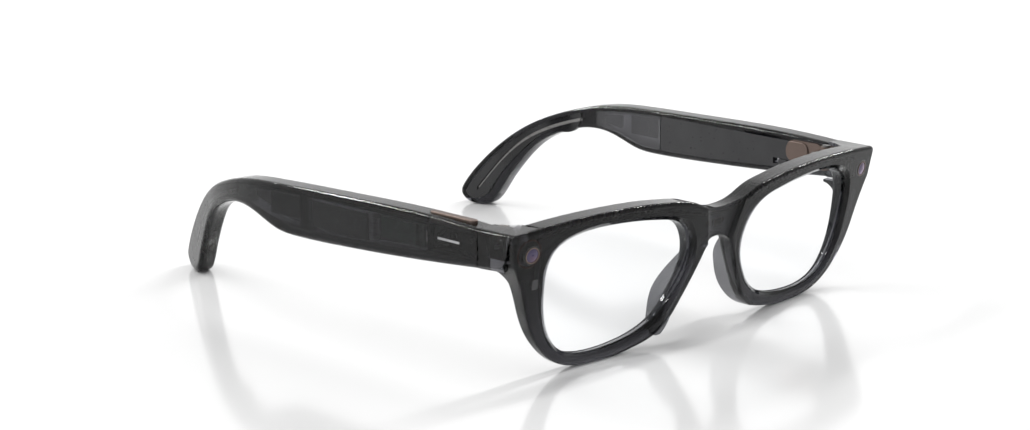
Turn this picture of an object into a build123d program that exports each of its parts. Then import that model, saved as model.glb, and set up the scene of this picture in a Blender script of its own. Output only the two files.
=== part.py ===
from build123d import *
import os
from math import cos, degrees, radians, sin, sqrt, tan

# Smart glasses, open and standing on a table, in millimetres. +X is the wearer's left, -Y the way the
# wearer looks, +Z up. Shapes are drawn with Y = 0 at the frontmost point of the brow line and moved
# back by CENTRE_Y when they are written, which puts the origin under the middle of the whole object.

# ---- driving dimensions ------------------------------------------------------------------------
CENTRE_Y = 79.89  # from the drawing's Y = 0 to the middle of the object
CONE_TOP = 80.0  # height of the tip of the flat cone that the front surface is part of
CONE_HALF_ANGLE = 81.1  # degrees between that cone's axis and its surface
TILT = 11.9  # degrees that the front leans forward at the top
TILT_BACK = 6.8  # degrees of the back face, so the rims are thicker at the brow
TILT_LEVEL = 45.0  # height at which the front surface crosses Y = 0
RIM_DEPTH = 2.9  # depth of the rims at the bottom
EDGE_ROUND = 0.8  # rounding of the front's outer edge
BACK_EDGE_ROUND = 1.0  # rounding of the rims' outer back edge
OPENING_BEVEL = 1.1  # bevel around the lens openings
GROOVE = 0.8  # how far a lens reaches into its rim
LENS_NEAR, LENS_FAR = 1.35, 2.45  # the lens's faces, behind the front surface
CAMERA_X, CAMERA_Z = 66.2, 33.2  # centre of the camera and light windows
BRIDGE_TOP, BRIDGE_BOTTOM = (8.5, 38.0), (4.75, 24.0)  # half width of the bridge's recess, and height
BRIDGE_STEP = 1.5  # depth of that recess
BACK_ROUND = 0.6  # rounding of the lens openings' back edges
PAD_HALF = 0.95  # half a nose pad's width, along X
RING_OUT, TRIM_OUT, GLASS_R = 2.5, 2.1, 1.8  # radii of a window's bezel, ring and glass
RING_DEPTH = 1.8
DOME_R = 6.0
MODULE_SIZE = (4.6, 4.6, 3.0)
SENSOR_X, SENSOR_Z = -1.75, -7.9  # light sensor, from the window above it
SENSOR_SIZE = (1.8, 2.6, 1.5)

LUG_X = 66.4  # inner face of the end pieces at the hinge
END_X, END_Y, END_Z = 63.6, 4.0, 29.3  # inner side, front and underside of the end pieces
END_DROP = 0.0375  # slope of that underside
SKIN_DEPTH, SKIN_TILT = 10.1, 23.8  # slanted back of the front's thin skin before an end piece
HINGE_Y = 20.0  # rear face of the lugs
HINGE_GAP = 0.3  # gap between lug and temple
TEMPLE_Y = HINGE_Y + HINGE_GAP
TEMPLE_IN, TEMPLE_OUT = 66.0, 72.7  # inner and outer faces of a temple at the hinge
TOE_OUT = 0.026  # outward slope of the temples
BEND_Y = 94.3  # where a temple starts to curve inwards
TEMPLE_ROUND = 1.3  # rounding along the temples' edges

PIVOT_X, PIVOT_Y = 65.0, 19.4  # hinge axis
KNUCKLE_R = 1.6
PIN_R = 0.7
PIN_CLEARANCE = 0.05
SCREW_R, SCREW_HEAD_R = 0.5, 0.95
KNUCKLES = (31.2, 32.6, 36.2, 37.9)  # heights that part the three knuckles of a hinge
KNUCKLE_GAP = 0.1
LEAF = 1.1  # thickness of the hinge leaves
LEAF_Y, LEAF_LENGTH, LEAF_CORNER = 27.7, 13.8, 3.2  # middle, length and corners of the temple's leaf
CAP_Y, CAP_LENGTH, CAP_HEIGHT, CAP = 30.4, 7.9, 5.7, 0.4  # raised plate over the leaf's rear screw

COVER = 1.2  # thickness of the covers on the temples' inner side
CAVITY = 4.2  # depth of the hollow behind them
CORE_HALF = 0.5  # half the width of the metal core in a temple's tip
BUTTON_START, BUTTON_END = 23.6, 39.2  # capture button, along Y
BUTTON_WIDTH = 2.2
BUTTON_TOP = 39.75
SLOT_CLEARANCE = 0.15

# ---- outlines, seen from the front as (x, z) or from the side as (y, z) ------------------------
BROW_LINE = [
    (0, 34.7), (4.5, 35.1), (8.3, 36.2), (12.5, 37.9), (20, 39.3), (28, 40.1), (36, 40.45), (45, 40.5), (53, 40.3),
    (61, 39.8), (72.2, 38.8),
]
RIM_LINE = [
    (70.9, 30.4), (68.9, 26.5), (67.2, 22.4), (65.4, 16.9), (63.1, 11.8), (59.5, 7.0), (55.2, 3.3), (49.6, 0.8),
    (42.0, -0.2), (35.0, -0.3), (27.2, 0.7), (18.9, 3.0), (14.3, 6.8), (11.9, 10.6), (9.9, 14.1), (7.7, 18.4),
    (6.0, 22.0), (4.5, 24.8), (2.7, 26.1), (0, 26.5),
]
OPENING = [
    (60.3, 25.5), (60.0, 29.0), (58.8, 32.0), (56.2, 34.2), (52.4, 35.7), (46.0, 36.6), (38.5, 36.6), (31.0, 36.1),
    (23.5, 35.1), (17.0, 33.5), (13.4, 31.2), (11.3, 28.0), (10.4, 24.3), (11.0, 19.8), (13.9, 14.2), (16.6, 10.6),
    (20.2, 7.5), (25.6, 5.1), (32.2, 3.7), (39.5, 3.1), (46.8, 3.6), (52.4, 5.6), (56.1, 9.2), (58.4, 13.6),
    (59.7, 18.6),
]
PAD_LINE = [(7.3, 23.6), (8.9, 19.3), (11.4, 15.4), (12.8, 12.8), (13.9, 10.2), (15.6, 6.7), (17.5, 4.3), (19.4, 2.9)]
PAD_CREST = [
    (10.2, 23.8), (12.2, 21.3), (13.6, 19.3), (15.5, 15.4), (16.2, 12.8), (16.3, 10.2), (16.0, 8.3), (15.5, 6.7),
    (14.4, 4.3), (12.6, 2.7),
]
TEMPLE_SIDE = [
    (20.3, 38.7), (40, 39.3), (70, 38.7), (95, 37.9), (110, 36.6), (122, 33.6), (133, 29.1), (143, 22.3), (151, 14.4),
    (156.6, 7.0), (157.8, 3.4), (155.9, 0.9), (152, -0.1), (148.3, 0.5), (146.2, 2.4), (143, 7.6), (137.5, 15.8),
    (131, 22.7), (123, 26.9), (115, 29.0), (108, 28.9), (101.5, 27.2), (95, 25.2), (86, 24.6), (66.5, 25.3), (45, 26.6),
    (20.3, 28.7),
]
COVER_SIDE = [(24.0, 37.2), (84.0, 37.0), (84.0, 26.3), (66.5, 26.9), (45.0, 28.3), (24.0, 30.0)]
WINDOW_SIDE = [
    (84.4, 36.9), (95.0, 36.4), (104.0, 35.8), (110.4, 35.1), (110.4, 30.5), (103.0, 29.4), (97.0, 27.5),
    (92.0, 26.4), (84.4, 26.3),
]
TIP_SIDE = [
    (117.0, 33.6), (125.0, 30.8), (134.0, 26.4), (143.0, 19.6), (150.0, 11.9), (154.6, 5.8), (155.4, 3.6), (154.0, 2.2),
    (151.8, 1.9), (149.4, 2.8), (146.2, 7.0), (140.6, 15.0), (134.0, 22.0), (126.0, 26.8), (117.0, 29.9),
]
CORE_LINE = [(116.0, 31.6), (126.0, 28.4), (135.0, 23.6), (143.0, 16.2), (148.6, 9.2), (151.6, 5.2)]
FLEX_LINE = [
    (0.0, 33.0), (10.0, 34.6), (18.0, 36.6), (26.0, 37.8), (34.0, 38.4), (44.0, 38.6), (54.0, 38.1), (62.5, 36.6),
]

FAR = 200.0  # longer than anything in the object


# ---- helpers -----------------------------------------------------------------------------------
def write(node, part):
    export_step(Pos(0, -CENTRE_Y, 0) * part, f"parts/{node}.step")


def write_pair(name, part):
    """Writes a left piece and its mirror image on the right."""
    write(f"{name}_left", part)
    write(f"{name}_right", mirror(part, about=Plane.YZ))


def both_sides(part):
    return part + mirror(part, about=Plane.YZ)


def mirrored(points):
    return [(-x, z) for x, z in reversed(points)]


def facing_front(face, start=-20.0, end=60.0):
    """Extrudes an (x, z) face backwards, from Y = start to Y = end."""
    plane = Plane(origin=(0, start, 0), x_dir=(1, 0, 0), z_dir=(0, -1, 0))
    return extrude(plane * face, end - start, dir=(0, 1, 0))


def facing_side(face, start=0.0, end=90.0):
    """Extrudes a (y, z) face outwards, from X = start to X = end."""
    plane = Plane(origin=(start, 0, 0), x_dir=(0, 1, 0), z_dir=(1, 0, 0))
    return extrude(plane * face, end - start, dir=(1, 0, 0))


def polygon_face(points):
    return make_face(Polyline(*points, close=True))


def front_cone(depth=0.0, tilt=TILT):
    """Tip and axis of the flat cone that the front surface lies on, moved back by depth."""
    slope, half = radians(tilt), radians(CONE_HALF_ANGLE)
    tip = Vector(0, TILT_LEVEL * tan(radians(TILT)) + depth - CONE_TOP * tan(slope), CONE_TOP)
    axis = Vector(0, sin(slope), -cos(slope)) * cos(half) + Vector(0, cos(slope), sin(slope)) * sin(half)
    return tip, axis


def behind_front(depth=0.0, tilt=TILT):
    """The space behind the front's curved surface, moved back by depth."""
    tip, axis = front_cone(depth, tilt)
    height = 60.0
    plane = Plane(origin=tip + axis * (height / 2), x_dir=(1, 0, 0), z_dir=-axis)
    return plane.location * Cone(height * tan(radians(CONE_HALF_ANGLE)), 0, height)


def front_y(x, z):
    """Y of the front surface at a place seen from the front."""
    tip, axis = front_cone()
    share = cos(radians(CONE_HALF_ANGLE)) ** 2
    below = z - tip.Z
    a = axis.Y**2 - share
    b = axis.Y * axis.Z * below
    c = (axis.Z * below) ** 2 - share * (x**2 + below**2)
    return tip.Y + (sqrt(b**2 - a * c) - b) / a


def front_slice(near, far):
    """A curved sheet of the front, between two depths."""
    return behind_front(near) - behind_front(far)


def lens_face(grow=0.0):
    """A lens opening, or the same outline grown outwards evenly."""
    edge = Spline(*OPENING, periodic=True)
    if not grow:
        return make_face(edge)
    count = len(OPENING) + 7
    points = []
    for i in range(count):
        along = edge % (i / count)
        points.append((edge @ (i / count)) + Vector(along.Y, -along.X) * grow)
    return make_face(Spline(*points, periodic=True))


def ribbon_face(points, half_width):
    """A strip of constant height about a smooth line of (x, z) points."""
    upper = [(x, z + half_width) for x, z in points]
    lower = [(x, z - half_width) for x, z in reversed(points)]
    top = Spline(*upper)
    bottom = Spline(*lower)
    return make_face(top + Line(top @ 1, bottom @ 0) + bottom + Line(bottom @ 1, top @ 0))


def upright(x, y, z_low, z_high, radius):
    """A vertical cylinder."""
    return Pos(x, y, (z_low + z_high) / 2) * Cylinder(radius, z_high - z_low)


def block(low, high):
    """A box between two corners."""
    size = [b - a for a, b in zip(low, high)]
    middle = [(a + b) / 2 for a, b in zip(low, high)]
    return Pos(*middle) * Box(*size)


def soft_block(low, high, radius):
    """A box with rounded edges."""
    part = block(low, high)
    return fillet(part.edges(), radius)


# ---- the front ---------------------------------------------------------------------------------
def front_outline():
    top = Spline(*(mirrored(BROW_LINE)[:-1] + BROW_LINE))
    bottom = Spline(*(RIM_LINE + mirrored(RIM_LINE)[1:]))
    face = make_face(top + Line(top @ 1, bottom @ 0) + bottom + Line(bottom @ 1, top @ 0))
    corners = face.vertices().sort_by(Axis.Y)[-2:]
    return fillet(corners, 1.4)


def front_edges(part, depth=0.0, tilt=TILT):
    """Edges that lie on the front surface, or on the back one."""
    tip, axis = front_cone(depth, tilt)
    found = []
    for edge in part.edges():
        arms = [(edge @ place) - tip for place in (0.0, 0.3, 0.5, 0.8)]
        errors = [radians(arm.get_angle(axis) - CONE_HALF_ANGLE) * arm.length for arm in arms]
        if max(abs(error) for error in errors) < 0.01:
            found.append(edge)
    return ShapeList(found)


def bridge_recess():
    """The hollow that sets the bridge's face back between the rims, narrower at the bottom."""
    faces = []
    for half, z in (BRIDGE_BOTTOM, BRIDGE_TOP):
        side = [(half, -0.4), (half - 0.8, 0.6 * BRIDGE_STEP), (half - 2.6, 0.96 * BRIDGE_STEP), (0, BRIDGE_STEP)]
        curve = Spline(*(side[:-1] + mirrored(side)))
        face = make_face(curve + Line(curve @ 1, curve @ 0))
        faces.append(Pos(0, front_y(0, z), z) * face)
    return loft(faces, ruled=True)


def front_blank():
    """The front before anything is let into it: two rims, the bridge and the brow."""
    hole = lens_face()
    face = front_outline() - hole - mirror(hole, about=Plane.YZ)
    part = (facing_front(face) & behind_front()) - behind_front(RIM_DEPTH, TILT_BACK)
    edges = front_edges(part)
    part = fillet([e for e in edges if not e.is_closed], EDGE_ROUND)
    part = chamfer([e for e in front_edges(part) if e.is_closed], OPENING_BEVEL)
    back = front_edges(part, RIM_DEPTH, TILT_BACK)
    part = fillet([e for e in back if e.is_closed], BACK_ROUND)
    back = front_edges(part, RIM_DEPTH, TILT_BACK)
    part = fillet([e for e in back if not e.is_closed], BACK_EDGE_ROUND)
    part -= bridge_recess()
    part -= both_sides(end_space())
    part += both_sides(rim_flare())
    return part - block((-FAR, -FAR, -5), (FAR, FAR, 0))


def end_space():
    """What an end piece and its hinge take out of the front, behind the front's skin."""
    return above_end(END_X) & behind_front(SKIN_DEPTH, SKIN_TILT)


def above_end(x):
    """Everything above the slightly sloping underside of the end pieces, outside a given X."""
    end_y, drop = 60.0, END_DROP * (60.0 - END_Y)
    face = polygon_face([(END_Y, END_Z), (end_y, END_Z - drop), (end_y, 60), (END_Y, 60)])
    return facing_side(face, x, FAR)


def rim_flare():
    """The rim's outer side sweeps back under the end piece."""
    rear = TangentArc((17.6, END_Z - 0.7), (13.4, 24.6), tangent=(-1, -0.1))
    start, end = rear @ 0, rear @ 1
    outline = rear + Line(end, (9.0, end.Y)) + Line((9.0, end.Y), (9.0, END_Z)) + Line((9.0, END_Z), (start.X, END_Z))
    face = make_face(outline + Line((start.X, END_Z), start))
    part = facing_side(face, 61.6, 90) & facing_front(front_outline())
    return (part & behind_front(1.5)) - above_end(END_X)


def lug():
    """The left end piece: from the front's skin back to the hinge."""
    front = [(END_X - 2, 39.8), (72.2, 38.8), (70.9, 30.4), (70.2, END_Z), (END_X - 2, END_Z)]
    low = END_Z - END_DROP * (HINGE_Y - END_Y)
    rear = [(END_X - 2, 39.2), (TEMPLE_OUT, 38.7), (TEMPLE_OUT, low + 0.9), (71.8, low), (END_X - 2, low)]
    sections = []
    for y, points in ((END_Y, front), (HINGE_Y, rear)):
        plane = Plane(origin=(0, y, 0), x_dir=(1, 0, 0), z_dir=(0, -1, 0))
        sections.append(plane * polygon_face(points))
    plan = polygon_face(
        [(80, END_Y), (80, HINGE_Y), (LUG_X, HINGE_Y), (LUG_X, 17.6), (END_X, 14.0), (END_X, END_Y)]
    )
    part = loft(sections, ruled=True) & extrude(plan, 60, dir=(0, 0, 1))
    part &= behind_front(SKIN_DEPTH, SKIN_TILT)
    long_edges = part.edges().filter_by(lambda e: abs((e @ 0).Y - (e @ 1).Y) > 3 and (e @ 0.5).X > 71)
    return fillet(long_edges.sort_by(Axis.Z)[-1:], TEMPLE_ROUND)


def lens():
    return facing_front(lens_face(GROOVE)) & front_slice(LENS_NEAR, LENS_FAR)


def nose_pad():
    """A thin crescent behind the nose side of the left rim."""
    outer = Spline(*[(x + PAD_HALF, z) for x, z in PAD_LINE])
    inner = Spline(*[(x - PAD_HALF, z) for x, z in reversed(PAD_LINE)])
    strip = make_face(outer + Line(outer @ 1, inner @ 0) + inner + Line(inner @ 1, outer @ 0))
    crest = Spline(*PAD_CREST)
    root_y = 8.5
    root = Line((root_y, (crest @ 1).Y), (root_y, (crest @ 0).Y))
    side = make_face(crest + Line(crest @ 1, root @ 0) + root + Line(root @ 1, crest @ 0))
    part = facing_front(strip) & facing_side(side)
    rims = part.edges().filter_by(lambda e: e.length > 20 and (e @ 0.5).Y > 14)
    return fillet(rims, 0.5)


# ---- camera, light and what else the front holds -----------------------------------------------
def window_plane():
    """On the front surface at the left camera window, facing along the surface's outward normal."""
    tip, axis = front_cone()
    half = radians(CONE_HALF_ANGLE)
    place = Vector(CAMERA_X, front_y(CAMERA_X, CAMERA_Z), CAMERA_Z)
    arm = place - tip
    outwards = (arm - axis * arm.dot(axis)).normalized()
    normal = outwards * cos(half) - axis * sin(half)
    return Plane(origin=place, x_dir=Vector(0, 0, 1).cross(normal), z_dir=normal)


def sunk(radius, near, far, inner=0.0):
    """A disc or ring let into the front surface, from depth near to depth far."""
    part = Pos(0, 0, -(near + far) / 2) * Cylinder(radius, far - near)
    if inner:
        part -= Pos(0, 0, -(near + far) / 2) * Cylinder(inner, FAR)
    return window_plane().location * part


def window_glass():
    """A slightly domed glass."""
    dome = Pos(0, 0, -DOME_R + 0.25) * Sphere(DOME_R)
    part = Pos(0, 0, -0.75) * Cylinder(GLASS_R, 2.1) & dome
    return window_plane().location * part


def sensor_module():
    """Lens barrel and housing behind a window."""
    barrel = Pos(0, 0, -2.1) * Cylinder(1.9, 0.6)
    housing = Pos(0, 0, -3.9) * Box(*MODULE_SIZE)
    return window_plane().location * (barrel + housing)


def light_sensor(proud=0.0):
    """Small rectangular window under the right-hand light."""
    width, height, depth = SENSOR_SIZE
    part = Pos(SENSOR_X, SENSOR_Z, (proud - depth) / 2) * Box(width, height, depth + proud)
    part = window_plane().location * part
    if not proud:
        part &= behind_front(0.03)
    return mirror(part, about=Plane.YZ)


def flex_cable():
    points = mirrored(FLEX_LINE)[:-1] + FLEX_LINE
    return facing_front(ribbon_face(points, 0.35)) & front_slice(2.6, 4.8)


def bridge_microphone():
    return soft_block((-1.6, 5.6, 29.2), (1.6, 6.8, 31.4), 0.2)


def charging_contacts():
    """Three round pads in the bridge's back face."""
    y = back_face_y(30.2)
    pads = [Pos(x, y - 0.45, 30.2) * Rot(90, 0, 0) * Cylinder(0.8, 0.8) for x in (-3.0, 0.0, 3.0)]
    return pads[0] + pads[1] + pads[2]


def back_face_y(z):
    """Y of the front's back face on the centre line."""
    return TILT_LEVEL * tan(radians(TILT)) + RIM_DEPTH - z * tan(radians(TILT_BACK))


# ---- hinges ------------------------------------------------------------------------------------
def front_leaf():
    """Plate let into the lug, with the upper and lower knuckles."""
    low, mid_low, mid_high, high = KNUCKLES
    plate = block((65.5, 14.9, low), (65.5 + 1.9, PIVOT_Y, high))
    tubes = upright(PIVOT_X, PIVOT_Y, low, mid_low, KNUCKLE_R) + upright(PIVOT_X, PIVOT_Y, mid_high, high, KNUCKLE_R)
    part = plate + tubes
    part -= upright(PIVOT_X, PIVOT_Y, mid_low, mid_high, KNUCKLE_R + 0.3)
    part -= block((0, HINGE_Y - 0.3, low), (63.0, 30, high))
    return part - upright(PIVOT_X, PIVOT_Y, 0, 60, PIN_R)


def leaf_outline(clearance=0.0):
    """Side view of the temple's hinge leaf."""
    height = KNUCKLES[3] - KNUCKLES[0]
    middle = (KNUCKLES[0] + KNUCKLES[3]) / 2
    return Pos(LEAF_Y, middle) * RectangleRounded(LEAF_LENGTH + 2 * clearance, height + 2 * clearance, LEAF_CORNER)


def temple_leaf():
    """Plate on the temple's inner side, with the middle knuckle."""
    plate = facing_side(leaf_outline(), TEMPLE_IN - 0.05, TEMPLE_IN + LEAF)
    bottom, top = KNUCKLES[1] + KNUCKLE_GAP, KNUCKLES[2] - KNUCKLE_GAP
    neck = block((PIVOT_X, PIVOT_Y, bottom), (TEMPLE_IN + 0.25, 22.8, top))
    neck = fillet(neck.edges().filter_by(Axis.Z).sort_by(Axis.Y)[-2:].sort_by(Axis.X)[:1], 0.7)
    part = plate + neck + upright(PIVOT_X, PIVOT_Y, bottom, top, KNUCKLE_R)
    return part - upright(PIVOT_X, PIVOT_Y, 0, 60, PIN_R + PIN_CLEARANCE)


def hinge_cap():
    """Raised plate with round corners on the temple's hinge leaf."""
    middle = (KNUCKLES[0] + KNUCKLES[3]) / 2
    outline = Pos(CAP_Y, middle) * RectangleRounded(CAP_LENGTH, CAP_HEIGHT, 2.3)
    part = facing_side(outline, TEMPLE_IN - 0.05 - CAP, TEMPLE_IN - 0.05)
    return chamfer(part.faces().sort_by(Axis.X)[0].edges(), 0.15)


def hinge_pin():
    """Pin with a slotted head on top of the upper knuckle."""
    head = upright(PIVOT_X, PIVOT_Y, KNUCKLES[3], KNUCKLES[3] + 0.45, 1.15)
    slot = block((PIVOT_X - 2, PIVOT_Y - 0.15, KNUCKLES[3] + 0.2), (PIVOT_X + 2, PIVOT_Y + 0.15, 60))
    return upright(PIVOT_X, PIVOT_Y, KNUCKLES[0], KNUCKLES[3], PIN_R) + (head - slot)


def screw(x, y, length, recess=True):
    """A small countersunk screw driven outwards (+X) from its head at x."""
    z = (KNUCKLES[0] + KNUCKLES[3]) / 2
    head = Pos(x + 0.25, y, z) * Rot(0, 90, 0) * Cone(SCREW_HEAD_R, SCREW_R, 0.5)
    part = head + Pos(x + 0.5 + length / 2, y, z) * Rot(0, 90, 0) * Cylinder(SCREW_R, length)
    if recess:
        part -= block((x - 0.1, y - 0.6, z - 0.12), (x + 0.2, y + 0.6, z + 0.12))
        part -= block((x - 0.1, y - 0.12, z - 0.6), (x + 0.2, y + 0.12, z + 0.6))
    return part


def temple_screws(recess=True):
    """Two screws hold the temple's hinge leaf, the rear one under the cap."""
    x = TEMPLE_IN - 0.05
    return screw(x, 24.6, 2.6, recess) + screw(x, 31.0, 2.6, recess)


def front_screws(recess=True):
    """One screw through each front leaf into its lug."""
    return screw(65.5, 16.3, 3.0, recess)


# ---- temples -----------------------------------------------------------------------------------
def temple_plan(inset=0.0, depth=None):
    """Top view of the left temple, or of a layer along its inner face."""
    rise = BEND_Y - TEMPLE_Y
    outer_start, outer_bend = (TEMPLE_OUT, TEMPLE_Y), (TEMPLE_OUT + TOE_OUT * rise, BEND_Y)
    inner_start, inner_bend = (TEMPLE_IN, TEMPLE_Y), (TEMPLE_IN + TOE_OUT * rise, BEND_Y)
    direction = Vector(TOE_OUT, 1).normalized()
    inner = curved_side(inner_start, inner_bend, direction, (62.35, 130.0), (51.0, 161.6))
    if depth is None:
        outer = curved_side(outer_start, outer_bend, direction, (67.9, 132.1), (56.2, 161.6))
    else:
        outer = [Pos(depth, 0, 0) * edge for edge in inner]
    if inset:
        inner = [Pos(inset, 0, 0) * edge for edge in inner]
    ends = [Line(outer[-1] @ 1, inner[-1] @ 1), Line(inner[0] @ 0, outer[0] @ 0)]
    return make_face(Curve() + outer + inner + ends)


def curved_side(start, bend, direction, bend_end, tip):
    arc = TangentArc(bend, bend_end, tangent=direction)
    return [Line(start, bend), arc, Line(arc @ 1, tip)]


def temple_blank():
    """The whole left temple as one bar: its side view cut to its top view, with rounded edges."""
    spline = Spline(*TEMPLE_SIDE)
    side = make_face(spline + Line(spline @ 1, spline @ 0))
    part = facing_side(side) & (Pos(0, 0, -5) * extrude(temple_plan(), 60, dir=(0, 0, 1)))
    long_edges = part.edges().filter_by(lambda e: e.length > 28)
    part = fillet(long_edges, TEMPLE_ROUND)
    return part - block((0, 0, -5), (FAR, FAR, 0))


def inner_layer(outline, depth, inset=0.0):
    """A layer along the temple's inner face, with the given side outline."""
    sheet = extrude(temple_plan(inset, depth), 60, dir=(0, 0, 1))
    return facing_side(outline) & sheet


def pocket(outline, depth):
    """Space for a layer, open towards the wearer's head."""
    return inner_layer(outline, depth, inset=-3.0)


def rounded(points, radius):
    face = polygon_face(points)
    return fillet(face.vertices(), radius)


def leaf_hole():
    """Space that the temple's hinge leaf takes out of the inner cover."""
    return facing_side(leaf_outline(0.1), TEMPLE_IN - 3, TEMPLE_IN + 3)


def inner_cover():
    return inner_layer(rounded(COVER_SIDE, 1.2), COVER) - leaf_hole()


def window_panel():
    return inner_layer(rounded(WINDOW_SIDE, 0.6), COVER)


def tip_insert():
    outline = make_face(Spline(*TIP_SIDE, periodic=True))
    slit = pocket(ribbon_face(CORE_LINE, CORE_HALF + 0.05), COVER + 1)
    return inner_layer(outline, COVER) - slit


def tip_core():
    """Flat metal core in the temple's tip, seen at the bottom of the insert's slit."""
    return inner_layer(ribbon_face(CORE_LINE, CORE_HALF), 2.6, inset=0.7)


def main_cavity():
    outline = rounded([(38.2, 36.6), (82.4, 36.2), (82.4, 27.3), (66.5, 27.9), (45.0, 29.2), (38.2, 29.7)], 0.8)
    return inner_layer(outline, COVER + CAVITY, inset=COVER)


def speaker_cavity():
    outline = rounded([(86.0, 36.0), (96.0, 35.5), (108.6, 34.6), (108.6, 31.0), (96.0, 28.2), (86.0, 27.4)], 0.6)
    return inner_layer(outline, COVER + CAVITY - 0.4, inset=COVER)


def on_temple(x, y, z, part):
    """Moves a part to a place along the temple, turned with its slight outward slope."""
    slope = degrees(TOE_OUT)
    return Pos(TEMPLE_IN + TOE_OUT * (y - TEMPLE_Y) + x, y, z) * Rot(0, 0, -slope) * part


def battery():
    cell = on_temple(3.3, 70.0, 32.2, soft_box(3.2, 23.0, 7.2, 0.5))
    tabs = on_temple(3.3, 58.0, 32.2, Box(1.2, 1.4, 4.0))
    return cell + tabs


def soft_box(x, y, z, radius):
    part = Box(x, y, z)
    return fillet(part.edges(), radius)


def main_board():
    """Circuit board with its chips and a shield can."""
    board = Box(0.8, 16.0, 6.6)
    chips = [
        Pos(-0.9, -4.6, 0) * Box(1.0, 5.2, 5.2),
        Pos(-0.8, 1.6, 1.2) * Box(0.8, 3.6, 3.2),
        Pos(-0.7, 5.8, -1.2) * Box(0.6, 2.6, 2.6),
        Pos(0.9, 0, 0) * Box(1.0, 12.0, 5.4),
    ]
    for chip in chips:
        board += chip
    return on_temple(3.4, 48.9, 33.0, board)


def speaker():
    """Speaker capsule with its round diaphragm towards the ear."""
    case = soft_box(3.0, 11.4, 6.0, 0.5)
    case += Pos(-1.6, 0, 0) * Rot(0, 90, 0) * Cylinder(2.4, 0.3)
    return on_temple(3.3, 92.7, 32.2, case)


def antenna():
    """Thin antenna carrier just under the window panel."""
    outline = rounded([(101.6, 34.6), (108.2, 34.0), (108.2, 31.6), (101.6, 30.4)], 0.5)
    return inner_layer(outline, COVER + 1.0, inset=COVER + 0.2)


def microphone():
    return on_temple(3.2, 39.4, 32.8, Box(1.4, 1.6, 2.6))


def touch_pad():
    """Touch-sensing film inside the right temple's outer wall."""
    return mirror(on_temple(5.15, 70.5, 32.0, Box(0.25, 21.0, 7.0)), about=Plane.YZ)


def button_shape(grow, low, high):
    """The capture button's outline above the left temple, between two heights."""
    length = BUTTON_END - BUTTON_START
    middle = (BUTTON_START + BUTTON_END) / 2
    outline = SlotOverall(length + 2 * grow, BUTTON_WIDTH + 2 * grow, rotation=90)
    x = TEMPLE_IN + 3.4 + TOE_OUT * (middle - TEMPLE_Y)
    return Pos(x, middle, low) * Rot(0, 0, -degrees(TOE_OUT)) * extrude(outline, high - low, dir=(0, 0, 1))


def capture_button():
    """Long button on top of the right temple."""
    cap = button_shape(0, 37.9, BUTTON_TOP)
    cap = fillet(cap.edges().filter_by(lambda e: (e @ 0.5).Z > BUTTON_TOP - 0.01), 0.35)
    return mirror(cap, about=Plane.YZ)


def button_slot():
    return mirror(button_shape(SLOT_CLEARANCE, 36.9, 45.0), about=Plane.YZ)


def button_switch():
    """Dome switch strip under the capture button."""
    return mirror(button_shape(-0.3, 36.9, 37.4), about=Plane.YZ)


def switch_knob():
    """Slider of the power switch on the left temple's inner side, under the hinge leaf."""
    return soft_block((TEMPLE_IN, 34.2, 29.9), (TEMPLE_IN + 1.25, 37.4, 31.3), 0.2)


def switch_slot():
    return block((TEMPLE_IN - 5, 34.0, 29.75), (TEMPLE_IN + 1.9, 39.6, 31.45))


# ---- putting it together -----------------------------------------------------------------------
def hinge_clearance():
    """Room in the lug and temple for the knuckles to turn in."""
    return upright(PIVOT_X, PIVOT_Y, KNUCKLES[0] - 0.2, 45.0, KNUCKLE_R + 0.3)


def build_front():
    windows = [sunk(RING_OUT, -1.0, RING_DEPTH), sensor_module()]
    frame = front_blank()
    pads = both_sides(nose_pad()) - frame
    end = lug() - hinge_clearance() - front_leaf() - front_screws(recess=False)
    frame -= both_sides(lens())
    for piece in windows:
        frame -= both_sides(piece)
        end -= piece
    frame -= light_sensor(proud=1.0)
    frame -= flex_cable()
    frame -= bridge_microphone()
    frame -= charging_contacts()
    write("front_frame", frame)
    write_pair("end_piece", end)
    write_pair("lens", lens())
    write_pair("nose_pad", nose_pad() - front_blank())
    write_pair("front_hinge_leaf", front_leaf() - front_screws(recess=False))
    write_pair("hinge_pin", hinge_pin())
    write("front_hinge_screws", both_sides(front_screws()))
    write("front_flex_cable", flex_cable())
    write("bridge_microphone", bridge_microphone())
    write("charging_contacts", charging_contacts())
    write("light_sensor_window", light_sensor())


def build_windows():
    pieces = {
        "window_bezel": sunk(RING_OUT, 0.0, RING_DEPTH, inner=TRIM_OUT),
        "window_ring": sunk(TRIM_OUT, -0.1, RING_DEPTH, inner=GLASS_R),
        "window": window_glass(),
        "module": sensor_module(),
    }
    for name, part in pieces.items():
        write(f"camera_{name}", part)
        write(f"light_{name}", mirror(part, about=Plane.YZ))


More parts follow.
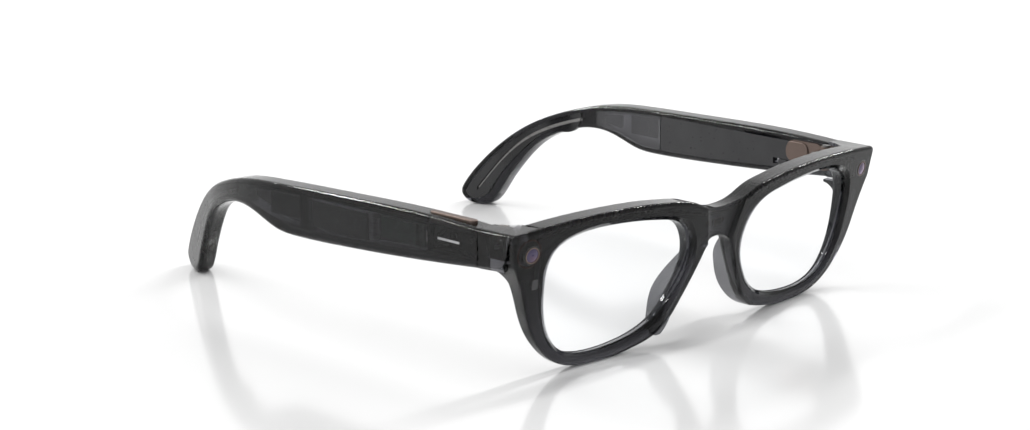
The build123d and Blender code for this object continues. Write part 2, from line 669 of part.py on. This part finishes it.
def build_temples():
    leaf = temple_leaf() - temple_screws(recess=False)
    shell = temple_blank() - hinge_clearance() - temple_leaf() - temple_screws(recess=False)
    shell -= pocket(rounded(COVER_SIDE, 1.2), COVER)
    shell -= pocket(rounded(WINDOW_SIDE, 0.6), COVER)
    shell -= pocket(make_face(Spline(*TIP_SIDE, periodic=True)), COVER)
    shell -= main_cavity()
    shell -= speaker_cavity()
    shell -= tip_core()
    write("temple_shell_left", shell)
    write("temple_shell_right", mirror(shell, about=Plane.YZ) - button_slot())
    write("inner_cover_left", inner_cover() - switch_slot())
    write("inner_cover_right", mirror(inner_cover(), about=Plane.YZ))
    write_pair("window_panel", window_panel())
    write_pair("tip_insert", tip_insert())
    write_pair("tip_core", tip_core())
    write_pair("temple_hinge_leaf", leaf)
    write_pair("temple_hinge_screws", temple_screws())
    write_pair("hinge_cap", hinge_cap())
    write_pair("battery", battery())
    write_pair("main_board", main_board())
    write_pair("speaker", speaker())
    write_pair("antenna", antenna())
    write_pair("temple_microphone", microphone())
    write("touch_pad", touch_pad())
    write("capture_button", capture_button())
    write("capture_switch", button_switch())
    write("power_switch", switch_knob())


def main():
    os.makedirs("parts", exist_ok=True)
    build_front()
    build_windows()
    build_temples()


main()
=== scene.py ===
import bpy
from math import cos, pi, sin
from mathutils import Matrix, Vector


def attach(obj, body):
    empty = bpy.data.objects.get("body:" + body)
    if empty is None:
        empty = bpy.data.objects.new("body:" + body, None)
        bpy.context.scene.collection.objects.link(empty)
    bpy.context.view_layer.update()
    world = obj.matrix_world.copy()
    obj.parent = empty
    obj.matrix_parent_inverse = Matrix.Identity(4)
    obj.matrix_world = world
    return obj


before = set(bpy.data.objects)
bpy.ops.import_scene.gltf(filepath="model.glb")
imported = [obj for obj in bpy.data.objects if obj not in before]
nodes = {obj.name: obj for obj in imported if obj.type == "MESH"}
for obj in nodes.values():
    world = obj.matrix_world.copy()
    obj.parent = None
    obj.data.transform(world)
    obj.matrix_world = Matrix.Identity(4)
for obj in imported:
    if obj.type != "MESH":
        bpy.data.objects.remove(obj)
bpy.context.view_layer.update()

# ---- sizes and places (metres) -----------------------------------------------------------------
VIEW_TARGET = Vector((0.0, -0.00015, 0.0187))
VIEW_DIRECTION = Vector((0.6868, 0.6846, -0.2441)).normalized()
VIEW_DISTANCE = 0.6132
SENSOR_WIDTH = 36.0  # mm
LENS_LENGTH = 75.15  # mm, on that sensor
RING_CENTRE = Vector((-0.0672, -0.07199, 0.0338))  # faint ring on the front around the light window
RING_OUTWARDS = Vector((-0.1268, -0.982, -0.1402))  # the front surface's normal there
RING_RADIUS, RING_HALF_WIDTH = 0.0035, 0.00012
RING_STEPS = 96
DECAL = 0.00003  # half the thickness of a printed mark
TOE_OUT = 0.026  # outward slope of the temples
TEMPLE_FRONT_X, TEMPLE_FRONT_Y = -0.0727, -0.05939  # front end of the right temple's outer face
BAR_SIZE = (2 * DECAL, 0.0075, 0.0006)
BAR_Y, BAR_Z = -0.04989, 0.0341
FLOOR_SIZE, FLOOR_Z = 6.0, -0.0001


# ---- materials ---------------------------------------------------------------------------------
def new_material(name):
    mat = bpy.data.materials.new(name)
    mat.use_nodes = True
    nt = mat.node_tree
    return mat, nt, nt.nodes["Principled BSDF"], nt.nodes["Material Output"]


def add(nt, kind, **values):
    node = nt.nodes.new(kind)
    for key, value in values.items():
        if key in node.inputs:
            node.inputs[key].default_value = value
        else:
            setattr(node, key, value)
    return node


def noise_on(nt, scale, detail=4.0, stretch=(1, 1, 1)):
    """Noise in object space, so it stays on the piece."""
    coord = add(nt, "ShaderNodeTexCoord")
    mapping = add(nt, "ShaderNodeMapping")
    mapping.inputs["Scale"].default_value = stretch
    noise = add(nt, "ShaderNodeTexNoise", Scale=scale, Detail=detail)
    nt.links.new(coord.outputs["Object"], mapping.inputs["Vector"])
    nt.links.new(mapping.outputs["Vector"], noise.inputs["Vector"])
    return noise


def ramp(nt, source, low, high, start=0.35, end=0.65):
    """Colour that goes from low to high as the source rises."""
    node = add(nt, "ShaderNodeValToRGB")
    node.color_ramp.elements[0].position = start
    node.color_ramp.elements[1].position = end
    node.color_ramp.elements[0].color = (*low, 1)
    node.color_ramp.elements[1].color = (*high, 1)
    nt.links.new(source, node.inputs["Fac"])
    return node


def value_range(nt, source, low, high):
    """Number that goes from low to high over the middle of a noise."""
    node = add(nt, "ShaderNodeMapRange")
    node.inputs["From Min"].default_value = 0.3
    node.inputs["From Max"].default_value = 0.7
    node.inputs["To Min"].default_value = low
    node.inputs["To Max"].default_value = high
    nt.links.new(source, node.inputs["Value"])
    return node


def bump(nt, source, shader, strength, distance):
    node = add(nt, "ShaderNodeBump", Strength=strength, Distance=distance)
    nt.links.new(source, node.inputs["Height"])
    nt.links.new(node.outputs["Normal"], shader.inputs["Normal"])


def plastic(name, low, high, rough, clear=0.0, tint=(0.5, 0.5, 0.52), grain=0.0, scale=90.0):
    """Polished or satin plastic; clear is the share of light that passes each surface."""
    mat, nt, shader, out = new_material(name)
    cloud = noise_on(nt, scale)
    colour = ramp(nt, cloud.outputs["Fac"], low, high)
    nt.links.new(colour.outputs["Color"], shader.inputs["Base Color"])
    fine = noise_on(nt, 900.0, 3.0)
    roughness = value_range(nt, fine.outputs["Fac"], rough * 0.8, rough * 1.25)
    nt.links.new(roughness.outputs["Result"], shader.inputs["Roughness"])
    if grain:
        bump(nt, noise_on(nt, 2600.0, 2.0).outputs["Fac"], shader, grain, 0.00005)
    if clear:
        clear_bsdf = add(nt, "ShaderNodeBsdfTransparent")
        clear_bsdf.inputs["Color"].default_value = (*tint, 1)
        mix = add(nt, "ShaderNodeMixShader")
        mix.inputs["Fac"].default_value = 1 - clear
        nt.links.new(clear_bsdf.outputs["BSDF"], mix.inputs[1])
        nt.links.new(shader.outputs["BSDF"], mix.inputs[2])
        nt.links.new(mix.outputs["Shader"], out.inputs["Surface"])
    return mat


def smoky(name, density, ior):
    """Clear moulded plastic with a smoke-grey dye: thin places pass light, thick ones are near black."""
    mat, nt, shader, out = new_material(name)
    shader.inputs["Transmission Weight"].default_value = 1.0
    shader.inputs["IOR"].default_value = ior
    flow = noise_on(nt, 60.0, 3.0)
    tone = ramp(nt, flow.outputs["Fac"], (0.90, 0.90, 0.91), (1.0, 1.0, 1.0))
    nt.links.new(tone.outputs["Color"], shader.inputs["Base Color"])
    wear = noise_on(nt, 700.0, 4.0)
    roughness = value_range(nt, wear.outputs["Fac"], 0.015, 0.048)
    nt.links.new(roughness.outputs["Result"], shader.inputs["Roughness"])
    volume = add(nt, "ShaderNodeVolumeAbsorption", Density=density)
    volume.inputs["Color"].default_value = (0.5, 0.5, 0.52, 1)
    nt.links.new(volume.outputs["Volume"], out.inputs["Volume"])
    return mat


def metal(name, low, high, rough, scale=400.0):
    """Satin metal with a fine brushed grain."""
    mat, nt, shader, _ = new_material(name)
    shader.inputs["Metallic"].default_value = 1.0
    cloud = noise_on(nt, scale, 4.0, (1, 1, 8))
    colour = ramp(nt, cloud.outputs["Fac"], low, high)
    nt.links.new(colour.outputs["Color"], shader.inputs["Base Color"])
    roughness = value_range(nt, cloud.outputs["Fac"], rough * 0.8, rough * 1.3)
    nt.links.new(roughness.outputs["Result"], shader.inputs["Roughness"])
    bump(nt, cloud.outputs["Fac"], shader, 0.08, 0.00002)
    return mat


def lens_material():
    """Clear coated lens: mostly see-through with a faint reflection."""
    mat, nt, _, out = new_material("lens_clear")
    clear_bsdf = add(nt, "ShaderNodeBsdfTransparent")
    cloud = noise_on(nt, 25.0, 2.0)
    colour = ramp(nt, cloud.outputs["Fac"], (0.985, 0.988, 0.99), (0.995, 0.997, 1.0))
    nt.links.new(colour.outputs["Color"], clear_bsdf.inputs["Color"])
    glossy = add(nt, "ShaderNodeBsdfGlossy", Roughness=0.02)
    glossy.inputs["Color"].default_value = (0.9, 0.95, 1.0, 1)
    mix = add(nt, "ShaderNodeMixShader", Fac=0.018)
    nt.links.new(clear_bsdf.outputs["BSDF"], mix.inputs[1])
    nt.links.new(glossy.outputs["BSDF"], mix.inputs[2])
    nt.links.new(mix.outputs["Shader"], out.inputs["Surface"])
    return mat


def coated_glass():
    """Dark camera glass with a violet and red anti-reflection sheen."""
    mat, nt, shader, _ = new_material("coated_glass")
    coord = add(nt, "ShaderNodeTexCoord")
    noise = add(nt, "ShaderNodeTexNoise", Scale=260.0, Detail=1.0)
    nt.links.new(coord.outputs["Object"], noise.inputs["Vector"])
    colour = ramp(nt, noise.outputs["Fac"], (0.055, 0.003, 0.016), (0.008, 0.003, 0.045), 0.42, 0.58)
    nt.links.new(colour.outputs["Color"], shader.inputs["Base Color"])
    shader.inputs["Roughness"].default_value = 0.05
    shader.inputs["Coat Weight"].default_value = 1.0
    shader.inputs["Coat Roughness"].default_value = 0.02
    shader.inputs["Coat Tint"].default_value = (0.85, 0.7, 1.0, 1)
    return mat


def set_material(mat, *names):
    for name in names:
        obj = nodes[name]
        obj.data.materials.clear()
        obj.data.materials.append(mat)


def pair(name):
    return f"{name}_left", f"{name}_right"


def dress_cad():
    smoke = smoky("frame_smoke", 1800.0, 1.33)
    temple = smoky("temple_smoke", 1500.0, 1.33)
    end = smoky("end_smoke", 700.0, 1.36)
    satin = plastic("cover_satin", (0.018, 0.018, 0.020), (0.026, 0.026, 0.028), 0.34, grain=0.25)
    clear = plastic("clear_smoke", (0.10, 0.10, 0.105), (0.14, 0.14, 0.145), 0.06, 0.55, (0.75, 0.75, 0.77))
    pad = plastic("pad_smoke", (0.06, 0.06, 0.063), (0.09, 0.09, 0.093), 0.08, 0.5, (0.7, 0.7, 0.72))
    tip = plastic("tip_smoke", (0.010, 0.010, 0.011), (0.018, 0.018, 0.019), 0.08)
    black = plastic("bezel_black", (0.003, 0.003, 0.003), (0.006, 0.006, 0.006), 0.12)
    matt = plastic("module_matt", (0.010, 0.010, 0.011), (0.020, 0.020, 0.021), 0.5, grain=0.3)
    bronze = metal("bronze_dark", (0.15, 0.115, 0.10), (0.18, 0.138, 0.12), 0.4, 1800.0)
    steel = metal("steel_satin", (0.20, 0.195, 0.19), (0.32, 0.315, 0.31), 0.34)
    gold = metal("gold_plate", (0.75, 0.52, 0.20), (0.9, 0.68, 0.32), 0.22)
    foil = metal("battery_foil", (0.20, 0.20, 0.21), (0.30, 0.30, 0.31), 0.42)
    film = plastic("black_film", (0.008, 0.0075, 0.007), (0.014, 0.013, 0.012), 0.4)
    board = plastic("board_green", (0.01, 0.03, 0.02), (0.015, 0.05, 0.03), 0.35, scale=700.0)
    carrier = plastic("antenna_grey", (0.20, 0.20, 0.20), (0.28, 0.28, 0.28), 0.4, grain=0.2)
    sensor = plastic("sensor_grey", (0.035, 0.035, 0.037), (0.05, 0.05, 0.052), 0.25)
    glass = coated_glass()
    set_material(smoke, "front_frame")
    set_material(end, *pair("end_piece"))
    set_material(temple, *pair("temple_shell"))
    set_material(satin, *pair("inner_cover"), "power_switch")
    set_material(clear, *pair("window_panel"))
    set_material(pad, *pair("nose_pad"))
    set_material(tip, *pair("tip_insert"))
    set_material(black, "camera_window_bezel", "light_window_bezel")
    set_material(matt, "camera_module", "light_module", *pair("speaker"))
    set_material(bronze, "camera_window_ring", "light_window_ring", "capture_button")
    set_material(bronze, *pair("front_hinge_leaf"), *pair("temple_hinge_leaf"), *pair("hinge_cap"))
    set_material(steel, *pair("hinge_pin"), "front_hinge_screws", *pair("temple_hinge_screws"))
    set_material(steel, "bridge_microphone", *pair("tip_core"), *pair("temple_microphone"), "capture_switch")
    set_material(gold, "charging_contacts")
    set_material(foil, *pair("battery"))
    set_material(film, "front_flex_cable", "touch_pad")
    set_material(board, *pair("main_board"))
    set_material(carrier, *pair("antenna"))
    set_material(glass, "camera_window", "light_window")
    set_material(sensor, "light_sensor_window")
    set_material(lens_material(), *pair("lens"))


# ---- printed details ---------------------------------------------------------------------------
def build_light_ring(material):
    """Faint ring on the front around the light window: four rows of points joined into a closed band."""
    turn = RING_OUTWARDS.to_track_quat("Z", "Y")
    points = []
    for radius in (RING_RADIUS - RING_HALF_WIDTH, RING_RADIUS + RING_HALF_WIDTH):
        for height in (-DECAL, DECAL):
            for step in range(RING_STEPS):
                angle = 2 * pi * step / RING_STEPS
                point = Vector((radius * cos(angle), radius * sin(angle), height))
                points.append(RING_CENTRE + turn @ point)
    faces = []
    for step in range(RING_STEPS):
        following = (step + 1) % RING_STEPS
        for row_a, row_b in ((1, 3), (3, 2), (2, 0), (0, 1)):
            a, b = row_a * RING_STEPS, row_b * RING_STEPS
            faces.append((a + step, a + following, b + following, b + step))
    mesh = bpy.data.meshes.new("light_ring_mark")
    mesh.from_pydata(points, [], faces)
    ring = bpy.data.objects.new("light_ring_mark", mesh)
    bpy.context.scene.collection.objects.link(ring)
    ring.data.materials.append(material)
    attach(ring, "front")


def build_temple_mark(material):
    """Short plain bar printed on the right temple's outer side."""
    bpy.ops.mesh.primitive_cube_add(size=1.0)
    bar = bpy.context.object
    bar.name = "temple_bar_mark"
    bar.scale = BAR_SIZE
    bar.rotation_euler = (0, 0, TOE_OUT)
    bar.location = (TEMPLE_FRONT_X - TOE_OUT * (BAR_Y - TEMPLE_FRONT_Y), BAR_Y, BAR_Z)
    bpy.ops.object.transform_apply(location=False, rotation=False, scale=True)
    bar.data.materials.append(material)
    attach(bar, "temple_right")


# ---- floor, light and camera -------------------------------------------------------------------
def build_floor():
    """White glossy table top."""
    bpy.ops.mesh.primitive_plane_add(size=FLOOR_SIZE, location=(0, 0, FLOOR_Z))
    floor = bpy.context.object
    floor.name = "floor"
    mat, _, shader, _ = new_material("floor_white")
    shader.inputs["Base Color"].default_value = (0.78, 0.78, 0.78, 1)
    shader.inputs["IOR"].default_value = 1.9
    shader.inputs["Roughness"].default_value = 0.13
    floor.data.materials.append(mat)


def build_world():
    """White studio that is darker towards the front."""
    world = bpy.data.worlds.new("studio")
    bpy.context.scene.world = world
    world.use_nodes = True
    nt = world.node_tree
    background = nt.nodes["Background"]
    coord = add(nt, "ShaderNodeTexCoord")
    parts = add(nt, "ShaderNodeSeparateXYZ")
    nt.links.new(coord.outputs["Generated"], parts.inputs["Vector"])
    fade = add(nt, "ShaderNodeMapRange")
    fade.inputs["From Min"].default_value = -0.5
    fade.inputs["From Max"].default_value = 0.6
    fade.inputs["To Min"].default_value = 0.5
    fade.inputs["To Max"].default_value = 1.05
    nt.links.new(parts.outputs["Y"], fade.inputs["Value"])
    nt.links.new(fade.outputs["Result"], background.inputs["Strength"])
    background.inputs["Color"].default_value = (1, 1, 1, 1)


def area_light(name, place, target, width, height, power):
    """Rectangular softbox aimed at a target."""
    data = bpy.data.lights.new(name, "AREA")
    data.shape = "RECTANGLE"
    data.size, data.size_y, data.energy = width, height, power
    light = bpy.data.objects.new(name, data)
    light.location = place
    light.rotation_euler = (Vector(target) - Vector(place)).to_track_quat("-Z", "Y").to_euler()
    bpy.context.scene.collection.objects.link(light)


def build_camera():
    data = bpy.data.cameras.new("camera")
    data.sensor_width = SENSOR_WIDTH
    data.lens = LENS_LENGTH
    data.clip_start = 0.01
    camera = bpy.data.objects.new("camera", data)
    camera.location = VIEW_TARGET - VIEW_DIRECTION * VIEW_DISTANCE
    camera.rotation_euler = VIEW_DIRECTION.to_track_quat("-Z", "Y").to_euler()
    bpy.context.scene.collection.objects.link(camera)
    bpy.context.scene.camera = camera


dress_cad()
build_light_ring(metal("ring_brown", (0.045, 0.03, 0.027), (0.06, 0.04, 0.036), 0.55))
build_temple_mark(plastic("mark_grey", (0.35, 0.35, 0.36), (0.45, 0.45, 0.46), 0.4))
build_floor()
build_world()
area_light("softbox_right", (0.75, -0.05, 0.75), (0, 0, 0.02), 0.07, 0.8, 6.0)
area_light("softbox_back", (-0.25, 0.8, 0.8), (0, 0, 0.02), 0.8, 0.07, 4.5)
area_light("softbox_top", (-0.2, -0.3, 1.1), (0, 0, 0.0), 0.7, 0.7, 2.0)
build_camera()
bpy.context.scene.view_settings.view_transform = "Standard"
